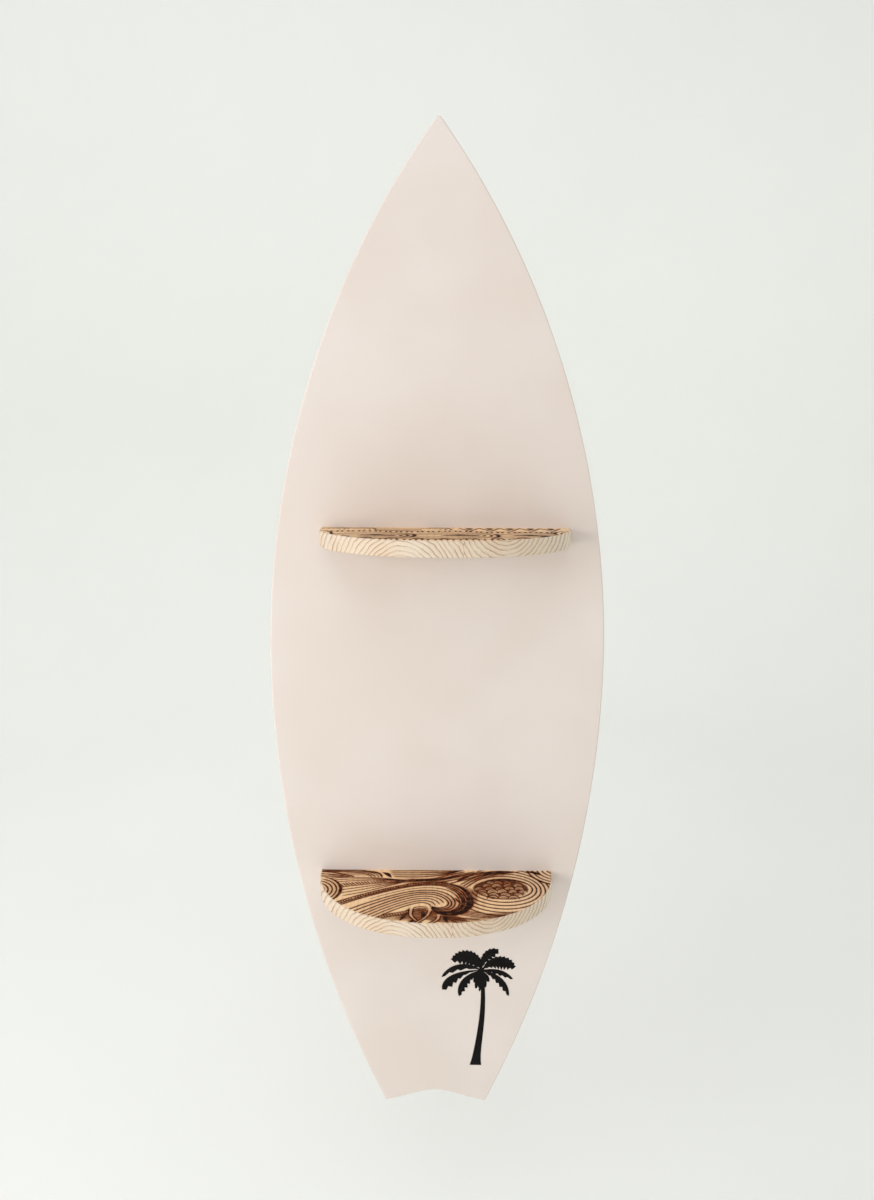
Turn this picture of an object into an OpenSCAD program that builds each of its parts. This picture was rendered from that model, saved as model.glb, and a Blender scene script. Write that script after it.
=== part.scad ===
// Wall shelf in the outline of a surfboard.
// A flat painted board hangs flush on two keyhole plates and carries two half-round pine shelves.
// The origin is midway between the two keyhole entries, on the board's back face.
// +X is to the right as seen from the room, +Y points into the wall and +Z is up.

/* [Board] */
// Length from the nose to the tips of the tail
board_l = 1200; // [1000:10:1400]
// Greatest width
board_w = 398; // [340:2:480]
// Thickness
board_t = 12; // [10:1:18]
// Distance from the nose to the widest place
wide_from_nose = 606; // [500:2:700]
// Angle at which the edges leave the nose, from square across
nose_angle = 52.6; // [40:0.1:65]
// Radius of the nose itself
nose_r = 4; // [2:0.5:10]
// Handle of the edge curve at the nose, as a share of the nose run
nose_fullness = 0.462; // [0.3:0.002:0.6]
// Handle of the edge curve forward of the widest place, as a share of the nose run
shoulder_fullness = 0.217; // [0.1:0.001:0.4]
// Width across the two tips of the tail, before they are rounded
tail_w = 131; // [100:1:180]
// Angle of the edges at the tail, from straight down
tail_angle = 24; // [10:0.5:35]
// Handle of the edge curve aft of the widest place, as a share of the tail run
hip_fullness = 0.496; // [0.3:0.002:0.6]
// Handle of the edge curve at the tail, as a share of the tail run
tail_fullness = 0.137; // [0.05:0.001:0.3]
// Height of the notch in the tail, before its top is rounded
notch_rise = 19; // [8:1:40]
// Radius at the top of the notch
notch_r = 60; // [20:1:90]
// Radius of the tail's two tips
tip_r = 3; // [2.5:0.5:8]
// Rounding of the front edge
edge_r = 2; // [0.5:0.1:2.4]
// Bevel of the back edge
back_bevel = 0.6; // [0.2:0.1:1.5]

/* [Shelves] */
// Width of a shelf along the board
shelf_w = 288; // [230:2:330]
// Depth of a shelf out from the board
shelf_d = 120; // [90:1:150]
// Thickness of a shelf
shelf_t = 18; // [15:1:24]
// Fullness of the rounded front, 2 is a true ellipse
shelf_power = 2.2; // [2:0.05:3]
// Rounding of a shelf's long edges
shelf_edge_r = 1.4; // [0.5:0.1:3]
// Distance from the nose down to the top of the upper shelf
upper_from_nose = 438; // [400:1:560]
// Height of the top of the lower shelf above the tips of the tail
lower_above_tail = 332; // [300:1:400]
// How far the upper shelf sits to the right of the centre line
upper_shelf_x = 9; // [-12:1:12]
// How far the lower shelf sits to the right of the centre line
lower_shelf_x = 0; // [-12:1:12]

/* [Shelf fastenings] */
// Diameter of a shelf screw over its thread
screw_d = 4; // [3.5:0.5:5]
// Diameter of a shelf screw's head
screw_head_d = 8; // [7:0.5:9]
// Length of screw that bites into a shelf
screw_bite = 28; // [20:1:40]
// Distance from the middle screw to each outer one
screw_reach = 95; // [70:1:105]
// Diameter of a dowel
dowel_d = 8; // [6:1:10]
// Depth of a dowel in a shelf
dowel_bite = 20; // [12:1:30]
// Wood left behind a dowel in the board
dowel_skin = 3.5; // [2:0.5:6]
// Distance from the middle of a shelf to each dowel
dowel_reach = 48; // [30:1:60]

/* [Keyhole plates] */
// Distance from the nose down to the keyhole entries
hang_from_nose = 300; // [240:5:360]
// Distance between the two keyhole entries
hang_spacing = 160; // [100:2:200]
// Width of a plate
plate_w = 18; // [16:1:24]
// Thickness of a plate
plate_t = 1.5; // [1:0.1:2]
// Diameter of the round entry for a wall screw's head
entry_d = 9.5; // [8:0.5:11]
// Width of the slot for a wall screw's neck
slot_w = 4.6; // [4:0.2:6]
// Distance from the entry up to the end of the slot
slot_up = 11; // [9:1:16]
// Distance from each end of the keyhole to the fixing screw beyond it
plate_land = 7; // [6:0.5:10]
// Width of the pocket behind the slot
pocket_w = 12; // [11:0.5:14]
// Wood left in front of the pocket
pocket_skin = 4; // [3:0.5:6]
// Diameter of a plate screw over its thread
plate_screw_d = 3; // [2.5:0.5:3.5]
// Diameter of a plate screw's head
plate_head_d = 6; // [5:0.5:7]
// Wood left in front of a plate screw's point
plate_screw_skin = 3; // [2:0.5:5]

/* [Palm decal] */
// Distance of the trunk's foot to the right of the centre line
palm_x = 51.5; // [-60:0.5:60]
// Height of the trunk's foot above the tips of the tail
palm_above_tail = 55; // [30:1:120]
// Height of the crown above the foot
palm_h = 138; // [100:1:160]
// Thickness of the vinyl
vinyl_t = 0.3; // [0.1:0.05:0.5]

/* [Fit] */
// Gap all round a screw, dowel or plate in the wood that holds it
fit_gap = 0.05; // [0.02:0.01:0.2]
// Gap round a screw where it passes through the board or a plate
pass_gap = 0.2; // [0.1:0.05:0.4]
// How far a screw's head sits below the face round it
head_sink = 0.3; // [0:0.1:0.6]

/* [Hidden] */
$fn = 48;

cut = 1;                            // how far a cutting shape runs past the face it cuts
nose_steps = 46;                    // steps along each edge from the nose to the widest place
tail_steps = 34;                    // steps from there to the tail
corner_steps = 6;                   // steps round a rounded corner
ease_steps = 4;                     // steps round an eased edge
shelf_steps = 96;                   // steps round a shelf's front

front_y = -board_t;
upper_z = hang_from_nose - upper_from_nose;
lower_z = hang_from_nose - board_l + lower_above_tail;
upper_shelf_at = [upper_shelf_x, upper_z];
lower_shelf_at = [lower_shelf_x, lower_z];

screw_r = screw_d / 2;
screw_head_r = screw_head_d / 2;
dowel_r = dowel_d / 2;
dowel_in_board = board_t - dowel_skin - fit_gap;
plate_screw_r = plate_screw_d / 2;
plate_head_r = plate_head_d / 2;
plate_screw_l = board_t - plate_screw_skin;

keyhole_low = -entry_d / 2;
keyhole_high = slot_up + slot_w / 2;
plate_low_screw = keyhole_low - plate_land;
plate_high_screw = keyhole_high + plate_land;
plate_rim = 4;                      // metal between a fixing screw's head and the end of its plate
plate_end = plate_head_r + plate_rim;
pocket_depth = board_t - pocket_skin;
pocket_slack = 1.5;                 // room below a wall screw's head in the pocket
pocket_low = keyhole_low - pocket_slack;
pocket_high = slot_up + pocket_w / 2;

// ---- plane geometry ----

function unit(v) = v / norm(v);

function bezier(p, t) =
    p[0] * pow(1 - t, 3) + p[1] * 3 * t * pow(1 - t, 2) + p[2] * 3 * t * t * (1 - t) + p[3] * pow(t, 3);

function near_turn(a) = a > 180 ? a - 360 : a < -180 ? a + 360 : a;

// The arc of radius r that rounds corner c between the points a and b, as points from a's side to b's.
function rounded(a, c, b, r, steps) =
    let (
        u = unit(a - c),
        v = unit(b - c),
        half = acos(u * v) / 2,
        centre = c + unit(u + v) * r / sin(half),
        from = c + u * r / tan(half) - centre,
        to = c + v * r / tan(half) - centre,
        start = atan2(from.y, from.x),
        turn = near_turn(atan2(to.y, to.x) - start)
    )
    [for (i = [0:steps]) centre + r * [cos(start + turn * i / steps), sin(start + turn * i / steps)]];

function mirrored(points) = [for (i = [len(points) - 1:-1:0]) [-points[i].x, points[i].y]];

// The points moved to the right of the way they run, which is inwards on a clockwise outline.
function inset(points, d) =
    let (n = len(points))
    [for (i = [0:n - 1])
        let (run = unit(points[(i + 1) % n] - points[(i + n - 1) % n]))
        points[i] + d * [run.y, -run.x]];

// How far an edge rounded to radius r draws in, and how far that is from its face.
function eased(r) =
    [for (i = [0:ease_steps]) let (a = 90 * i / ease_steps) [r * (1 - sin(a)), r * (1 - cos(a))]];

// A closed solid through rings of points that all run clockwise as seen from beyond the last ring.
module ring_solid(rings) {
    n = len(rings[0]);
    last = len(rings) - 1;
    sides = [
        for (k = [0:last - 1], i = [0:n - 1])
            let (j = (i + 1) % n)
            [(k + 1) * n + j, (k + 1) * n + i, k * n + i, k * n + j]
    ];
    caps = [[for (i = [n - 1:-1:0]) i], [for (i = [0:n - 1]) last * n + i]];
    polyhedron([for (ring = rings) each ring], concat(sides, caps), convexity = 6);
}

// ---- board ----

// The right-hand edge from just past the nose to the tip of the tail, seen from the front.
nose_z = hang_from_nose;
tail_z = nose_z - board_l;
wide_z = nose_z - wide_from_nose;
nose_leaves = [nose_r * sin(nose_angle), nose_z - nose_r * (1 - cos(nose_angle))];
nose_run = nose_leaves.y - wide_z;
tail_run = wide_z - tail_z;
wide_at = [board_w / 2, wide_z];
tail_tip = [tail_w / 2, tail_z];
notch_top = [0, tail_z + notch_rise];

nose_curve = [
    nose_leaves,
    nose_leaves + nose_fullness * nose_run * [cos(nose_angle), -sin(nose_angle)],
    wide_at + [0, shoulder_fullness * nose_run],
    wide_at
];
tail_curve = [
    wide_at,
    wide_at - [0, hip_fullness * tail_run],
    tail_tip + tail_fullness * tail_run * [sin(tail_angle), cos(tail_angle)],
    tail_tip
];

function right_edge() = concat(
    [for (i = [1:3]) let (a = nose_angle * i / 4) [nose_r * sin(a), nose_z - nose_r * (1 - cos(a))]],
    [for (i = [0:nose_steps - 1]) bezier(nose_curve, i / nose_steps)],
    [for (i = [0:tail_steps - 1]) bezier(tail_curve, i / tail_steps)],
    rounded(tail_curve[2], tail_tip, notch_top, tip_r, corner_steps)
);

function board_outline() =
    let (right = right_edge())
    concat(
        [[0, nose_z]],
        right,
        rounded(tail_tip, notch_top, [-tail_tip.x, tail_tip.y], notch_r, 2 * corner_steps),
        mirrored(right)
    );

function upright(points, y) = [for (p = points) [p.x, y, p.y]];

module board_blank() {
    outline = board_outline();
    front = eased(edge_r);
    ring_solid(concat(
        [upright(inset(outline, back_bevel), 0), upright(outline, -back_bevel)],
        [for (i = [ease_steps:-1:0]) upright(inset(outline, front[i].x), front_y + front[i].y)]
    ));
}

// Where the fixings of a shelf go: its middle line, in from the board's back face.
module at_shelf_screws(at) {
    for (side = [-1, 0, 1])
        translate([at.x + side * screw_reach, 0, at.y - shelf_t / 2]) rotate([90, 0, 0]) children();
}

module at_shelf_dowels(at) {
    for (side = [-1, 1])
        translate([at.x + side * dowel_reach, front_y, at.y - shelf_t / 2]) rotate([90, 0, 0]) children();
}

// A hole through the board for a countersunk screw, driven from the back face along +Z.
module screw_passage() {
    r = screw_r + pass_gap;
    sink = screw_head_r - screw_r;
    translate([0, 0, -cut]) cylinder(h = board_t + 2 * cut, r = r);
    translate([0, 0, head_sink]) cylinder(h = sink, r1 = screw_head_r + pass_gap, r2 = r);
    translate([0, 0, -cut]) cylinder(h = cut + head_sink, r = screw_head_r + pass_gap);
}

// An upright strip of width w with rounded ends, centred on x = 0, from low to high.
module strip(w, low, high) {
    r = w / 2;
    ends = 16;
    polygon(concat(
        [for (i = [0:ends]) let (a = 180 * i / ends) [r * cos(a), high - r + r * sin(a)]],
        [for (i = [0:ends]) let (a = 180 + 180 * i / ends) [r * cos(a), low + r + r * sin(a)]]
    ));
}

// Cuts an upright strip h deep into the board's back face.
module sunk_strip(w, low, high, h) {
    translate([0, cut, 0]) rotate([90, 0, 0]) linear_extrude(h + cut) strip(w, low, high);
}

module plate_seat() {
    edge = plate_w + 2 * fit_gap;
    low = plate_low_screw - plate_end - fit_gap;
    high = plate_high_screw + plate_end + fit_gap;
    sunk_strip(edge, low, high, plate_t);
    sunk_strip(pocket_w, pocket_low, pocket_high, pocket_depth);
    for (z = [plate_low_screw, plate_high_screw])
        translate([0, cut, z]) rotate([90, 0, 0])
            cylinder(h = plate_screw_l + cut + fit_gap, r = plate_screw_r + fit_gap);
}

module board_panel() {
    color("#e6d9d4")
    difference() {
        board_blank();
        for (at = [upper_shelf_at, lower_shelf_at]) {
            at_shelf_screws(at) screw_passage();
            at_shelf_dowels(at)
                translate([0, 0, -board_t + dowel_skin])
                cylinder(h = board_t - dowel_skin + cut, r = dowel_r + fit_gap);
        }
        for (side = [-1, 1]) translate([side * hang_spacing / 2, 0, 0]) plate_seat();
    }
}

// ---- shelves ----

function signed_pow(v, p) = sign(v) * pow(abs(v), p);

// A shelf's front in plan, from its right end round to its left, drawn in by d along its own normal.
function shelf_plan(d) =
    let (a = shelf_w / 2, q = 2 / shelf_power)
    [for (i = [0:shelf_steps])
        let (
            t = 180 * i / shelf_steps,
            u = signed_pow(cos(t), q),
            v = pow(sin(t), q),
            out = unit([signed_pow(u, shelf_power - 1) / a, pow(v, shelf_power - 1) / shelf_d])
        )
        [a * u - d * out.x, front_y - shelf_d * v + d * out.y]];

function level(points, z) = [for (p = points) [p.x, p.y, z]];

// A shelf whose top is at [x, z] at, with the holes for its screws and dowels.
module shelf(at) {
    ease = eased(shelf_edge_r);
    difference() {
        translate([at.x, 0, at.y]) ring_solid(concat(
            [for (i = [0:ease_steps]) level(shelf_plan(ease[i].x), -shelf_t + ease[i].y)],
            [for (i = [ease_steps:-1:0]) level(shelf_plan(ease[i].x), -ease[i].y)]
        ));
        at_shelf_screws(at)
            translate([0, 0, board_t - cut])
            cylinder(h = cut + screw_bite + fit_gap, r = screw_r + fit_gap);
        at_shelf_dowels(at)
            translate([0, 0, -cut]) cylinder(h = cut + dowel_bite + fit_gap, r = dowel_r + fit_gap);
    }
}

module upper_shelf() {
    color("#e3c39a") shelf(upper_shelf_at);
}

module lower_shelf() {
    color("#e3c39a") shelf(lower_shelf_at);
}

// ---- fixings ----

// A countersunk wood screw that points along +Z, with its head's face at z = sunk.
module wood_screw(r, head_r, length, sunk) {
    neck = sunk + head_r - r;
    point = 1.6 * r;
    slot_l = 1.1 * head_r;
    slot_t = 0.22 * head_r;
    difference() {
        rotate_extrude() polygon([
            [0, sunk], [head_r, sunk], [r, neck], [r, length - 2 * point], [0.15 * r, length], [0, length]
        ]);
        for (turn = [0, 90])
            rotate([0, 0, turn])
            translate([-slot_l / 2, -slot_t / 2, sunk - cut]) cube([slot_l, slot_t, cut + 0.6 * (head_r - r)]);
    }
}

module shelf_screws(at) {
    color("#b9b4a6")
    at_shelf_screws(at) wood_screw(screw_r, screw_head_r, board_t + screw_bite, head_sink);
}

module upper_shelf_screws() {
    shelf_screws(upper_shelf_at);
}

module lower_shelf_screws() {
    shelf_screws(lower_shelf_at);
}

// A dowel with bevelled ends, half in the board and half in the shelf.
module dowel() {
    bevel = dowel_r / 5;
    low = -dowel_in_board;
    high = dowel_bite;
    rotate_extrude() polygon([
        [0, low], [dowel_r - bevel, low], [dowel_r, low + bevel],
        [dowel_r, high - bevel], [dowel_r - bevel, high], [0, high]
    ]);
}

module upper_shelf_dowels() {
    color("#d9b98c") at_shelf_dowels(upper_shelf_at) dowel();
}

module lower_shelf_dowels() {
    color("#d9b98c") at_shelf_dowels(lower_shelf_at) dowel();
}

// A plate let in flush with the back face: a round entry below a slot, and a countersunk hole at each end.
module keyhole_plate(side) {
    color("#9aa0a6")
    translate([side * hang_spacing / 2, 0, 0])
    rotate([90, 0, 0])
    difference() {
        linear_extrude(plate_t) strip(plate_w, plate_low_screw - plate_end, plate_high_screw + plate_end);
        translate([0, 0, -cut]) cylinder(h = plate_t + 2 * cut, r = entry_d / 2);
        translate([0, 0, -cut]) linear_extrude(plate_t + 2 * cut) strip(slot_w, -slot_w / 2, keyhole_high);
        for (y = [plate_low_screw, plate_high_screw])
            translate([0, y, 0]) {
                translate([0, 0, -cut]) cylinder(h = plate_t + 2 * cut, r = plate_screw_r + pass_gap);
                cylinder(
                    h = plate_head_r - plate_screw_r,
                    r1 = plate_head_r + pass_gap,
                    r2 = plate_screw_r + pass_gap
                );
            }
    }
}

module left_keyhole_plate() {
    keyhole_plate(-1);
}

module right_keyhole_plate() {
    keyhole_plate(1);
}

module keyhole_plate_screws() {
    color("#b9b4a6")
    for (side = [-1, 1], z = [plate_low_screw, plate_high_screw])
        translate([side * hang_spacing / 2, 0, z])
        rotate([90, 0, 0])
        wood_screw(plate_screw_r, plate_head_r, plate_screw_l, 0);
}

// ---- palm decal ----

crown = [0.052 * palm_h, palm_h];
trunk_line = [[1, 0], [4.5, 0.29 * palm_h], [14, 0.6 * palm_h], crown];
crown_r = 4;
frond_out = 3;                      // from the crown's middle to where a frond starts
frond_root = 0.7;                   // half of a frond's width at its start
cut_r = 0.2;                        // the rounding a cutter leaves on the vinyl's corners

// Each frond: the way it leaves the crown, how far it turns, its length, its greatest width, where
// along it that width is, from 0.5 near the crown to 2 near the tip, and its number of leaflets
// on the hollow side and on the back. No leaflets is a plain curve.
FRONDS = [
    [108, 114, 46, 20, 1.0, 6, 12],
    [153, 80, 54, 8, 1.1, 4, 0],
    [182, 56, 57, 13, 2.2, 6, 0],
    [205, 58, 46, 11, 1.3, 6, 0],
    [218, 18, 12, 6, 1.2, 3, 0],
    [236, 12, 17, 7, 1.2, 4, 0],
    [252, 4, 24, 7, 1.1, 5, 0],
    [268, -4, 27, 6, 1.0, 5, 0],
    [286, -6, 22, 6, 1.1, 4, 0],
    [306, -10, 16, 6, 1.2, 3, 0],
    [341, -56, 50, 9, 1.2, 6, 0],
    [3, -42, 40, 7, 1.2, 5, 0],
    [50, -98, 46, 17, 1.2, 8, 11],
    [90, -84, 37, 13, 1.4, 5, 8]
];

// A point on a frond's rib, t of the way along, moved off to its hollow side by d.
function on_rib(frond, t, d) =
    let (
        way = frond[0] + frond[1] * t,
        bend = frond[2] * 180 / (PI * frond[1]),
        side = sign(frond[1])
    )
    crown + frond_out * [cos(frond[0]), sin(frond[0])]
        + bend * [sin(way) - sin(frond[0]), cos(frond[0]) - cos(way)]
        + side * d * [-sin(way), cos(way)];

function frond_half(frond, t) =
    frond_root * (1 - t) + frond[3] / 2 * pow(sin(180 * pow(t, frond[4])), 0.8);

// One side of a frond from its start to its tip: n leaflets that reach to far and are cut back to near,
// as shares of the frond's half width, or a plain curve at far.
function frond_side(frond, n, far, near) =
    n == 0
    ? [for (t = [0:1 / 14:1]) on_rib(frond, t, far * frond_half(frond, t))]
    : [for (i = [0:n - 1])
        let (root = (i + 0.4) / (n + 0.4), tip = (i + 1.1) / (n + 0.4))
        each [
            on_rib(frond, root, near * frond_half(frond, root)),
            on_rib(frond, tip, far * frond_half(frond, tip - 0.04))
        ]];

function backwards(points) = [for (i = [len(points) - 1:-1:0]) points[i]];

module frond(f) {
    polygon(concat(
        [on_rib(f, 0, -frond_root)],
        frond_side(f, f[6], f[6] == 0 ? -0.8 : -1, -0.78),
        backwards(frond_side(f, f[5], 1.2, 0.6)),
        [on_rib(f, 0, frond_root)]
    ));
}

module trunk() {
    steps = 20;
    half = [for (i = [0:steps]) let (up = i / steps) 1.9 + 2.9 * (1 - up) + 2.5 * pow(1 - up, 10)];
    line = [for (i = [0:steps]) bezier(trunk_line, i / steps)];
    polygon(concat(
        [for (i = [0:steps]) line[i] + [half[i], 0]],
        [for (i = [steps:-1:0]) line[i] - [half[i], 0]]
    ));
}

module palm_decal() {
    color("#111111")
    translate([palm_x, front_y, tail_z + palm_above_tail])
    rotate([90, 0, 0])
    linear_extrude(vinyl_t)
    offset(r = cut_r, $fn = 12) {
        trunk();
        translate(crown) circle(r = crown_r);
        for (f = FRONDS) frond(f);
    }
}

board_panel();
upper_shelf();
lower_shelf();
palm_decal();
upper_shelf_screws();
lower_shelf_screws();
upper_shelf_dowels();
lower_shelf_dowels();
left_keyhole_plate();
right_keyhole_plate();
keyhole_plate_screws();
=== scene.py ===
import math

import bmesh
import bpy
import numpy as np
from mathutils import Matrix, Vector


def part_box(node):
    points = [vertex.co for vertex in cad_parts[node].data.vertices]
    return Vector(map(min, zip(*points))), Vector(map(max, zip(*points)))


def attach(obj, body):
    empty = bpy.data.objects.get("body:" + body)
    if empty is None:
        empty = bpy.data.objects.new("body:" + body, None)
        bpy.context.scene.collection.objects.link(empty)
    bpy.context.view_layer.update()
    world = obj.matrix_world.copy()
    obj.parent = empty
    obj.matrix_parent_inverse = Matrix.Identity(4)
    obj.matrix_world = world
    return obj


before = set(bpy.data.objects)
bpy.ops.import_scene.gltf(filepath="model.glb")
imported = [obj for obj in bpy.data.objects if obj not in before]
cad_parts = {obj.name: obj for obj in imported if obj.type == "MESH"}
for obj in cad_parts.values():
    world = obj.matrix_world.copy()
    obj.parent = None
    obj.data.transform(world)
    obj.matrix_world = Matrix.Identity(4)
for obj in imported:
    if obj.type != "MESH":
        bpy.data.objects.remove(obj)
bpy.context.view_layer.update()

MM = 0.001

# ---------------------------------------------------------------- places taken from the CAD pieces

board_low, board_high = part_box("board_panel")
front_y = board_low.y
nose_z = board_high.z
tail_z = board_low.z


def shelf_place(node):
    """A shelf's middle, its top and its half width, depth and thickness."""
    low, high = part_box(node)
    return {
        "x": (low.x + high.x) / 2,
        "top": high.z,
        "half": (high.x - low.x) / 2,
        "depth": high.y - low.y,
        "thick": high.z - low.z,
    }


upper = shelf_place("upper_shelf")
lower = shelf_place("lower_shelf")

# ---------------------------------------------------------------- camera

CAMERA_OUT = 0.9974         # in front of the board's face
CAMERA_BELOW_NOSE = 0.3267
CAMERA_RIGHT = 0.0068
CAMERA_PITCH = 11.14        # degrees down
CAMERA_YAW = 0.395          # degrees to the left
CAMERA_ROLL = 0.20          # degrees anticlockwise
CAMERA_LENS = 25.95         # millimetres on a 36 mm long side


def add_camera():
    """The lens that looks down a little from in front of the board."""
    data = bpy.data.cameras.new("camera")
    data.lens = CAMERA_LENS
    data.sensor_width = 36
    data.clip_start = 0.01
    camera = bpy.data.objects.new("camera", data)
    bpy.context.scene.collection.objects.link(camera)
    place = Matrix.Translation((CAMERA_RIGHT, front_y - CAMERA_OUT, nose_z - CAMERA_BELOW_NOSE))
    yaw = Matrix.Rotation(math.radians(CAMERA_YAW), 4, "Z")
    pitch = Matrix.Rotation(math.radians(90 - CAMERA_PITCH), 4, "X")
    roll = Matrix.Rotation(math.radians(CAMERA_ROLL), 4, "Z")
    camera.matrix_world = place @ yaw @ pitch @ roll
    bpy.context.scene.camera = camera


add_camera()

# ---------------------------------------------------------------- node helpers

MIX_A, MIX_B, MIX_RESULT = 6, 7, 2      # the colour sockets of a Mix node


def new_material(name):
    """An empty material with one Principled shader."""
    material = bpy.data.materials.new(name)
    material.use_nodes = True
    tree = material.node_tree
    tree.nodes.clear()
    output = tree.nodes.new("ShaderNodeOutputMaterial")
    shader = tree.nodes.new("ShaderNodeBsdfPrincipled")
    tree.links.new(shader.outputs["BSDF"], output.inputs["Surface"])
    return material, tree, shader


def put(tree, value, socket):
    """Links an output, or sets a plain value."""
    if isinstance(value, bpy.types.NodeSocket):
        tree.links.new(value, socket)
    else:
        socket.default_value = value


def coordinates(tree, centre=(0, 0, 0), scale=(1, 1, 1)):
    """Object coordinates, in metres from centre, then scaled."""
    source = tree.nodes.new("ShaderNodeTexCoord")
    shift = tree.nodes.new("ShaderNodeVectorMath")
    shift.operation = "SUBTRACT"
    shift.inputs[1].default_value = centre
    stretch = tree.nodes.new("ShaderNodeVectorMath")
    stretch.operation = "MULTIPLY"
    stretch.inputs[1].default_value = scale
    tree.links.new(source.outputs["Object"], shift.inputs[0])
    tree.links.new(shift.outputs[0], stretch.inputs[0])
    return stretch.outputs[0]


def noise(tree, vector, scale, detail=3.0, roughness=0.55):
    """Noise from 0 to 1 whose values crowd round 0.5, with scale features in a metre."""
    made = tree.nodes.new("ShaderNodeTexNoise")
    tree.links.new(vector, made.inputs["Vector"])
    made.inputs["Scale"].default_value = scale
    made.inputs["Detail"].default_value = detail
    made.inputs["Roughness"].default_value = roughness
    return made.outputs["Fac"]


def math_node(tree, operation, a, b=0.0, c=0.0, clamp=False):
    """One step of arithmetic on outputs or plain values."""
    made = tree.nodes.new("ShaderNodeMath")
    made.operation = operation
    made.use_clamp = clamp
    for value, socket in zip((a, b, c), made.inputs):
        put(tree, value, socket)
    return made.outputs[0]


def fade(tree, value, low, high, to_low=0.0, to_high=1.0):
    """value from low to high becomes to_low to to_high, smoothly and held at the ends."""
    made = tree.nodes.new("ShaderNodeMapRange")
    made.interpolation_type = "SMOOTHSTEP"
    put(tree, value, made.inputs["Value"])
    made.inputs["From Min"].default_value = low
    made.inputs["From Max"].default_value = high
    made.inputs["To Min"].default_value = to_low
    made.inputs["To Max"].default_value = to_high
    return made.outputs["Result"]


def mix(tree, share, a, b):
    """The colour that lies share of the way from a to b."""
    made = tree.nodes.new("ShaderNodeMix")
    made.data_type = "RGBA"
    put(tree, share, made.inputs["Factor"])
    put(tree, a, made.inputs[MIX_A])
    put(tree, b, made.inputs[MIX_B])
    return made.outputs[MIX_RESULT]


def bump(tree, shader, height, distance, strength):
    """Relief from a height of 0 to 1 that stands distance metres high."""
    made = tree.nodes.new("ShaderNodeBump")
    put(tree, height, made.inputs["Height"])
    made.inputs["Distance"].default_value = distance
    made.inputs["Strength"].default_value = strength
    tree.links.new(made.outputs["Normal"], shader.inputs["Normal"])


def split(tree, vector):
    """A vector's X, Y and Z, by name."""
    made = tree.nodes.new("ShaderNodeSeparateXYZ")
    tree.links.new(vector, made.inputs[0])
    return made.outputs


def rgb(red, green, blue):
    """A colour given as it shows on a screen, 0 to 255, as linear light."""
    def linear(v):
        v /= 255
        return v / 12.92 if v <= 0.04045 else ((v + 0.055) / 1.055) ** 2.4
    return (linear(red), linear(green), linear(blue), 1.0)


# ---------------------------------------------------------------- finishes

PAINT = rgb(227, 216, 210)
PAINT_SHADE = rgb(223, 210, 202)
RAW_BOARD = rgb(188, 154, 116)
RAW_BOARD_PALE = rgb(214, 186, 150)
RAW_BOARD_DARK = rgb(146, 112, 80)
PINE_PALE = rgb(226, 210, 191)
PINE_WARM = rgb(221, 195, 166)
PINE_RING = rgb(132, 82, 46)
PINE_SAP = rgb(240, 226, 206)
HONEY = rgb(253, 214, 168)
SCORCH = rgb(172, 92, 44)
BURN = rgb(30, 5, 1)
VINYL = rgb(8, 6, 5)
VINYL_WORN = rgb(15, 12, 11)
YELLOW_ZINC = rgb(214, 200, 150)
YELLOW_ZINC_DARK = rgb(190, 172, 120)
BRIGHT_ZINC = rgb(200, 203, 206)
BRIGHT_ZINC_DARK = rgb(172, 176, 180)
BEECH = rgb(214, 178, 136)
BEECH_FLECK = rgb(176, 134, 94)

# the parts of a noise's range that a blend runs over
GENTLE = (0.3, 0.7)
FIRM = (0.35, 0.65)

# noise features in a metre
PAINT_CLOUDS = 5.0
PAINT_STIPPLE = 520.0
PAINT_ROLLER = 120.0
PAINT_RAGGED = 60.0
BOARD_FIBRES = 900.0
BOARD_FLECKS = 260.0
BOARD_CLOUDS = 14.0
BOARD_SANDING = 380.0

PAINT_WANDER = 0.8 * MM          # how far the roller's stop wanders over the edge
PAINT_STOP = (-0.4 * MM, -0.1 * MM)
PAINT_RELIEF = 0.12 * MM
BARE_ROUGHER = 0.35


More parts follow.
